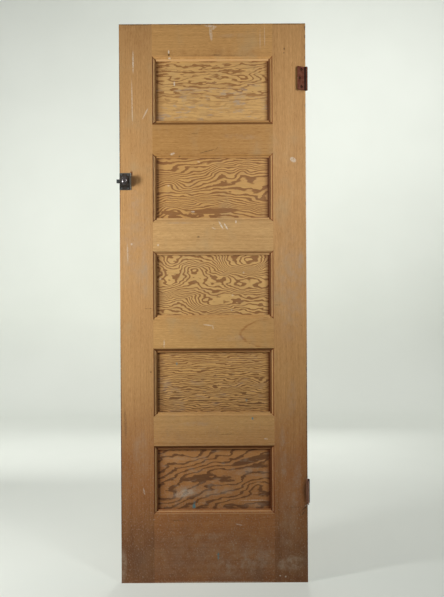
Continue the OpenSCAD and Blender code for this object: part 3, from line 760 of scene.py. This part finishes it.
# Near black, for painted shade on the hinges.
METAL_SHADE = (0.018, 0.012, 0.010)


def metal_finish(name, base, second, bloom, scale, shine, gloss=0.4,
                 worn_and_lit=None, rubbed=METAL_HIGHLIGHT, dark_mask=None):
    """Metal in two tones with a bloom of rust. Shine is (metallic, roughness).

    The two masks of the place show pale wear or a painted highlight, and dark painted shade.
    """
    finish, shader, (x, y, z) = new_finish(name)
    coarse = cloud(x / scale, y / scale, z / scale, 4, 0.6)
    fine = cloud(x / 1.1, y / 1.1, z / 1.1, 3, 0.6)
    colour = (coarse * 0.9 + fine * 0.3).rise(-0.4, 0.5).blend(base, second)
    rust = (coarse * -0.7 + fine * 0.5).rise(0.12, 0.55)
    colour = rust.blend(colour, bloom)
    # Pale wear and painted highlights go on first, then painted shade.
    if worn_and_lit:
        pale_mask = worn_and_lit(x, y, z) * (coarse * 0.5 + fine * 0.5 + 0.6)
        colour = pale_mask.blend(colour, rubbed)
    if dark_mask:
        colour = dark_mask(x, y, z).blend(colour, METAL_SHADE)
    plug(shader, "Base Color", colour)
    shader.inputs["Specular IOR Level"].default_value = gloss
    metallic, roughness = shine
    plug(shader, "Metallic", metallic - rust * 0.5 * metallic)
    plug(shader, "Roughness", roughness + rust * 0.3 + fine * 0.1)
    roughen(shader, fine * 0.3 + coarse * 0.3 + 0.5, 0.5, 0.25 * MM)
    return finish


print("metal recipe ready, grease", METAL_SHADE, "bare metal", METAL_HIGHLIGHT)

# %% [markdown]
# Wear and painted light belong to places. Painted shade darkens the barrels, the bottom leaf and the
# screw holes of the top leaf, where shade falls, and the steel is pale at a rubbed chip and at a
# painted highlight on an edge and a stripe. Each is a mask, 0 to 1, worked out from where the pin, the
# holes and the leaf are, so nothing has to be painted by hand.

# %% Where the hinges are worn, lit and shaded
BARREL_HALF = 5.25
HALFWAY = 1000
HOLE_HALF = (4.0, 5.0)
CHIP = (277, 1646, 2.6, 2.2, 0)
pin_low, pin_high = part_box("top_hinge_pin")
pin_x = (pin_low[0] + pin_high[0]) / 2 / MM
pin_y = (pin_low[1] + pin_high[1]) / 2 / MM
low_leaf_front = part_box("bottom_hinge_free_leaf")[0][1] / MM
mounts = frame["record"]["mounts"]
leaf_holes = [mount["pos_m"] for mount in mounts if mount["name"].startswith("top_leaf")]


def on_top_hinge(z):
    """1 on the top hinge, 0 on the bottom one."""
    return z.rise(HALFWAY, HALFWAY + 10)


def on_bottom_hinge(z):
    """1 on the bottom hinge, 0 on the top one."""
    return z.rise(HALFWAY + 10, HALFWAY)


def on_barrel(y):
    """1 on the rolled barrel, 0 on the flat leaves."""
    return (y - pin_y).size().rise(BARREL_HALF + 1.5, BARREL_HALF + 0.5)


def leaf_edge(y, z):
    """1 on the front edge of the bottom hinge's loose leaf."""
    return (y - low_leaf_front).rise(1.8, 0.8) * on_bottom_hinge(z)


def hinge_painted_shade(x, y, z):
    """Painted shade on the barrels, the bottom leaf and the screw holes of the top leaf."""
    off_pin = x - pin_x
    upper = off_pin.rise(-7.5, -4.5) * off_pin.rise(2.5, -1.5) * on_top_hinge(z)
    lower = off_pin.rise(-1.5, 0.5) * on_bottom_hinge(z)
    shade_mask = (upper * 0.9 + lower * 0.85) * on_barrel(y)
    low_leaf = (pin_y - y).rise(BARREL_HALF, BARREL_HALF + 2) * on_bottom_hinge(z)
    shade_mask = shade_mask + low_leaf * (1 - leaf_edge(y, z)) * 0.6
    for hole in leaf_holes:
        shade_mask = shade_mask + spot(x, z, (hole[0] / MM, hole[2] / MM, *HOLE_HALF, 0), 0.5)
    return shade_mask


def hinge_chip_and_highlight(x, y, z):
    """A bright chip on the top leaf, and painted highlights on the bottom leaf's edge and barrel."""
    off_pin = x - pin_x
    stripe = off_pin.rise(-5.5, -4.5) * off_pin.rise(-1.5, -2.5) * on_bottom_hinge(z) * on_barrel(y)
    return spot(x, z, CHIP, 0.3) * 0.8 + stripe * 0.8 + leaf_edge(y, z)


print("pin at", round(pin_x, 1), round(pin_y, 1), "mm, holes in the top leaf:", len(leaf_holes))

# %% [markdown]
# The right side of the latch case gets a painted highlight, where light catches it, and its top and
# bottom edges are paler. The mask follows the box of the case.

# %% Pale edges of the latch
latch_low, latch_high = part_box("latch_case")


def latch_pale_edges(x, y, z):
    """Painted highlight on the right side, and paler top and bottom edges of the latch case."""
    right = x.rise(latch_high[0] / MM - 4, latch_high[0] / MM - 2)
    top = z.rise(latch_high[2] / MM - 4, latch_high[2] / MM - 1)
    bottom = z.rise(latch_low[2] / MM + 3, latch_low[2] / MM + 1)
    return right * 0.55 + top * 0.25 + bottom * 0.1


print("latch case:", [round((b - a) / MM, 1) for a, b in zip(latch_low, latch_high)], "mm")

# %% [markdown]
# Five metals come from the recipe: rusted hinge steel with painted shade and highlights, its screws,
# worn black japan on the case with a painted highlight, dull steel inside the latch, and the iron
# knob, which is smooth from use. Scale is the size of the rust patches in mm, and shine is how
# metallic and how rough the surface is.

# %% Dress the metal
rusted_steel = metal_finish(
    "rusted_steel", base=(0.13, 0.038, 0.022), second=(0.24, 0.092, 0.058), bloom=(0.22, 0.055, 0.024),
    scale=9, shine=(0.03, 0.65), gloss=0.03,
    worn_and_lit=hinge_chip_and_highlight, rubbed=(0.52, 0.33, 0.23), dark_mask=hinge_painted_shade)
screw_rust = metal_finish(
    "screw_rust", base=(0.10, 0.065, 0.05), second=(0.20, 0.15, 0.12), bloom=(0.18, 0.06, 0.03),
    scale=3, shine=(0.5, 0.5))
japan_worn_and_lit = metal_finish(
    "japan_worn_and_lit", base=(0.008, 0.007, 0.006), second=(0.055, 0.042, 0.033), bloom=(0.075, 0.034, 0.020),
    scale=8, shine=(0.15, 0.45), gloss=0.25, worn_and_lit=latch_pale_edges)
dull_steel = metal_finish(
    "dull_steel", base=(0.03, 0.04, 0.042), second=(0.10, 0.10, 0.10), bloom=(0.08, 0.045, 0.03),
    scale=5, shine=(0.6, 0.42))
rubbed_iron = metal_finish(
    "rubbed_iron", base=(0.035, 0.029, 0.030), second=(0.13, 0.112, 0.112), bloom=(0.06, 0.036, 0.028),
    scale=5, shine=(0.75, 0.20))
hinge_parts = [end + part for end in ("top_hinge_", "bottom_hinge_")
               for part in ("door_leaf", "free_leaf", "pin")]
metal_pieces = [
    (rusted_steel, hinge_parts),
    (screw_rust, ["top_hinge_screws", "bottom_hinge_screws"]),
    (japan_worn_and_lit, ["latch_case", "latch_back_plate"]),
    (dull_steel, ["latch_bolt", "latch_spring", "latch_spindle", "knob_pin", "latch_screws"]),
    (rubbed_iron, ["latch_knob"])]
for finish, names in metal_pieces:
    for name in names:
        dress(name, finish)
print("metal pieces dressed:", sum(len(names) for _, names in metal_pieces))

# %% [markdown]
# No worn edge is razor sharp. A Bevel modifier rounds every hard arris by a hair, which catches the
# light along the mouldings and the hardware. It rides on top of the solid and leaves it as it is.

# %% Soften the arrises
ARRIS = 0.4 * MM
HINGE_ARRIS = 0.3 * MM
ARRIS_STEPS = 2
SHARP_ANGLE = 40


def soften(name, width):
    """Rounds the sharp edges of a piece by a width in metres."""
    bevel = pieces[name].modifiers.new("worn_edges", "BEVEL")
    bevel.width = width
    bevel.segments = ARRIS_STEPS
    bevel.limit_method = "ANGLE"
    bevel.angle_limit = math.radians(SHARP_ANGLE)
    bevel.use_clamp_overlap = True


for name in [*stile_edges, *rail_shade, "latch_case", "latch_bolt"]:
    soften(name, ARRIS)
for name in hinge_parts:
    soften(name, HINGE_ARRIS)
print("softened pieces:", sum(1 for piece in pieces.values() if piece.modifiers))

# %% [markdown]
# The door stands on a plain pale floor that sweeps up behind it into the backdrop without a corner,
# so the light falls off smoothly to the bottom of the picture. Two flat planes would show a line where
# they meet, so one bent sheet is made from an outline. It is wide, because the door is seen from all
# sides.

# %% Floor and backdrop
BACKDROP_DISTANCE = 4.4
SWEEP = 0.8
SWEEP_STEPS = 24
FLOOR_FRONT = -6.0
BACKDROP_TOP = 5.4
HALF_WIDE = 14.0


def sweep_outline(steps):
    """Points of the floor and backdrop from front to top, as (y, z)."""
    points = [(FLOOR_FRONT, 0.0)]
    for step in range(steps + 1):
        turn = math.pi / 2 * step / steps
        y = BACKDROP_DISTANCE - SWEEP + SWEEP * math.sin(turn)
        points.append((y, SWEEP - SWEEP * math.cos(turn)))
    return points + [(BACKDROP_DISTANCE, BACKDROP_TOP)]


mesh = bpy.data.meshes.new("backdrop")
sheet = bmesh.new()
outline = sweep_outline(SWEEP_STEPS)
rows = [[sheet.verts.new((side * HALF_WIDE, y, z)) for side in (-1, 1)] for y, z in outline]
for lower, upper in zip(rows, rows[1:]):
    sheet.faces.new((lower[0], lower[1], upper[1], upper[0])).smooth = True
sheet.to_mesh(mesh)
sheet.free()
backdrop = bpy.data.objects.new("backdrop", mesh)
bpy.context.scene.collection.objects.link(backdrop)
print("backdrop faces:", len(mesh.polygons))

# %% [markdown]
# The paint is a pale grey-green, and the air beyond gives the door hardly any light. Both glow where
# they are looked at or mirrored, so the ground is pale from every side and far from the lamps. More
# lamps could do that too, but they would light the door as well and wash out its shadow on the floor.

# %% Paint and air
PAINT_DULL = (0.78, 0.81, 0.74)
PAINT_PALE = (0.84, 0.87, 0.80)
PAINT_GLOW = (0.80, 0.83, 0.76, 1)
AIR_COLOUR = (0.95, 1.0, 0.93, 1)
AIR_LIGHT = 0.02
AIR_SEEN = 0.7
FLOOR_GLOW = 0.4
FAR_GLOW = 0.85
FAR_STARTS = 1900
FAR_FULL = 4200


def looked_at(tree):
    """1 where a surface is seen, mirrored or seen through, 0 where it lights something."""
    rays = tree.nodes.new("ShaderNodeLightPath").outputs
    kinds = ("Is Camera Ray", "Is Glossy Ray", "Is Transmission Ray")
    seen, mirrored, through = (Strand(rays[kind]) for kind in kinds)
    return seen + mirrored + through


finish, shader, (x, y, z) = new_finish("backdrop_paint")
mottle = cloud(x / 700, y / 700, z / 700, 2)
plug(shader, "Base Color", mottle.rise(-1, 1).blend(PAINT_DULL, PAINT_PALE))
shader.inputs["Roughness"].default_value = 0.9
shader.inputs["Specular IOR Level"].default_value = 0.1
glow = mottle.node("Emission", None, {"Color": PAINT_GLOW, "Strength": 1.0})
paint = Strand(shader.outputs["BSDF"])
far_off = x.size().most(y * -1).rise(FAR_STARTS, FAR_FULL) * FAR_GLOW
share = looked_at(finish.node_tree) * far_off.most(z.rise(SWEEP / MM, 0) * FLOOR_GLOW)
both = mottle.node("MixShader", None, {0: share, 1: paint, 2: glow})
plug(finish.node_tree.nodes["Material Output"], "Surface", both)
mesh.materials.append(finish)

world = bpy.data.worlds.new("studio")
world.use_nodes = True
air = world.node_tree.nodes["Background"]
air.inputs["Color"].default_value = AIR_COLOUR
plug(air, "Strength", looked_at(world.node_tree) * (AIR_SEEN - AIR_LIGHT) + AIR_LIGHT)
bpy.context.scene.world = world
print("air lights the door at", AIR_LIGHT, "and is seen at", AIR_SEEN)

# %% [markdown]
# Last, nothing here changes the door's size.

# %% Finish
print("door dressed")
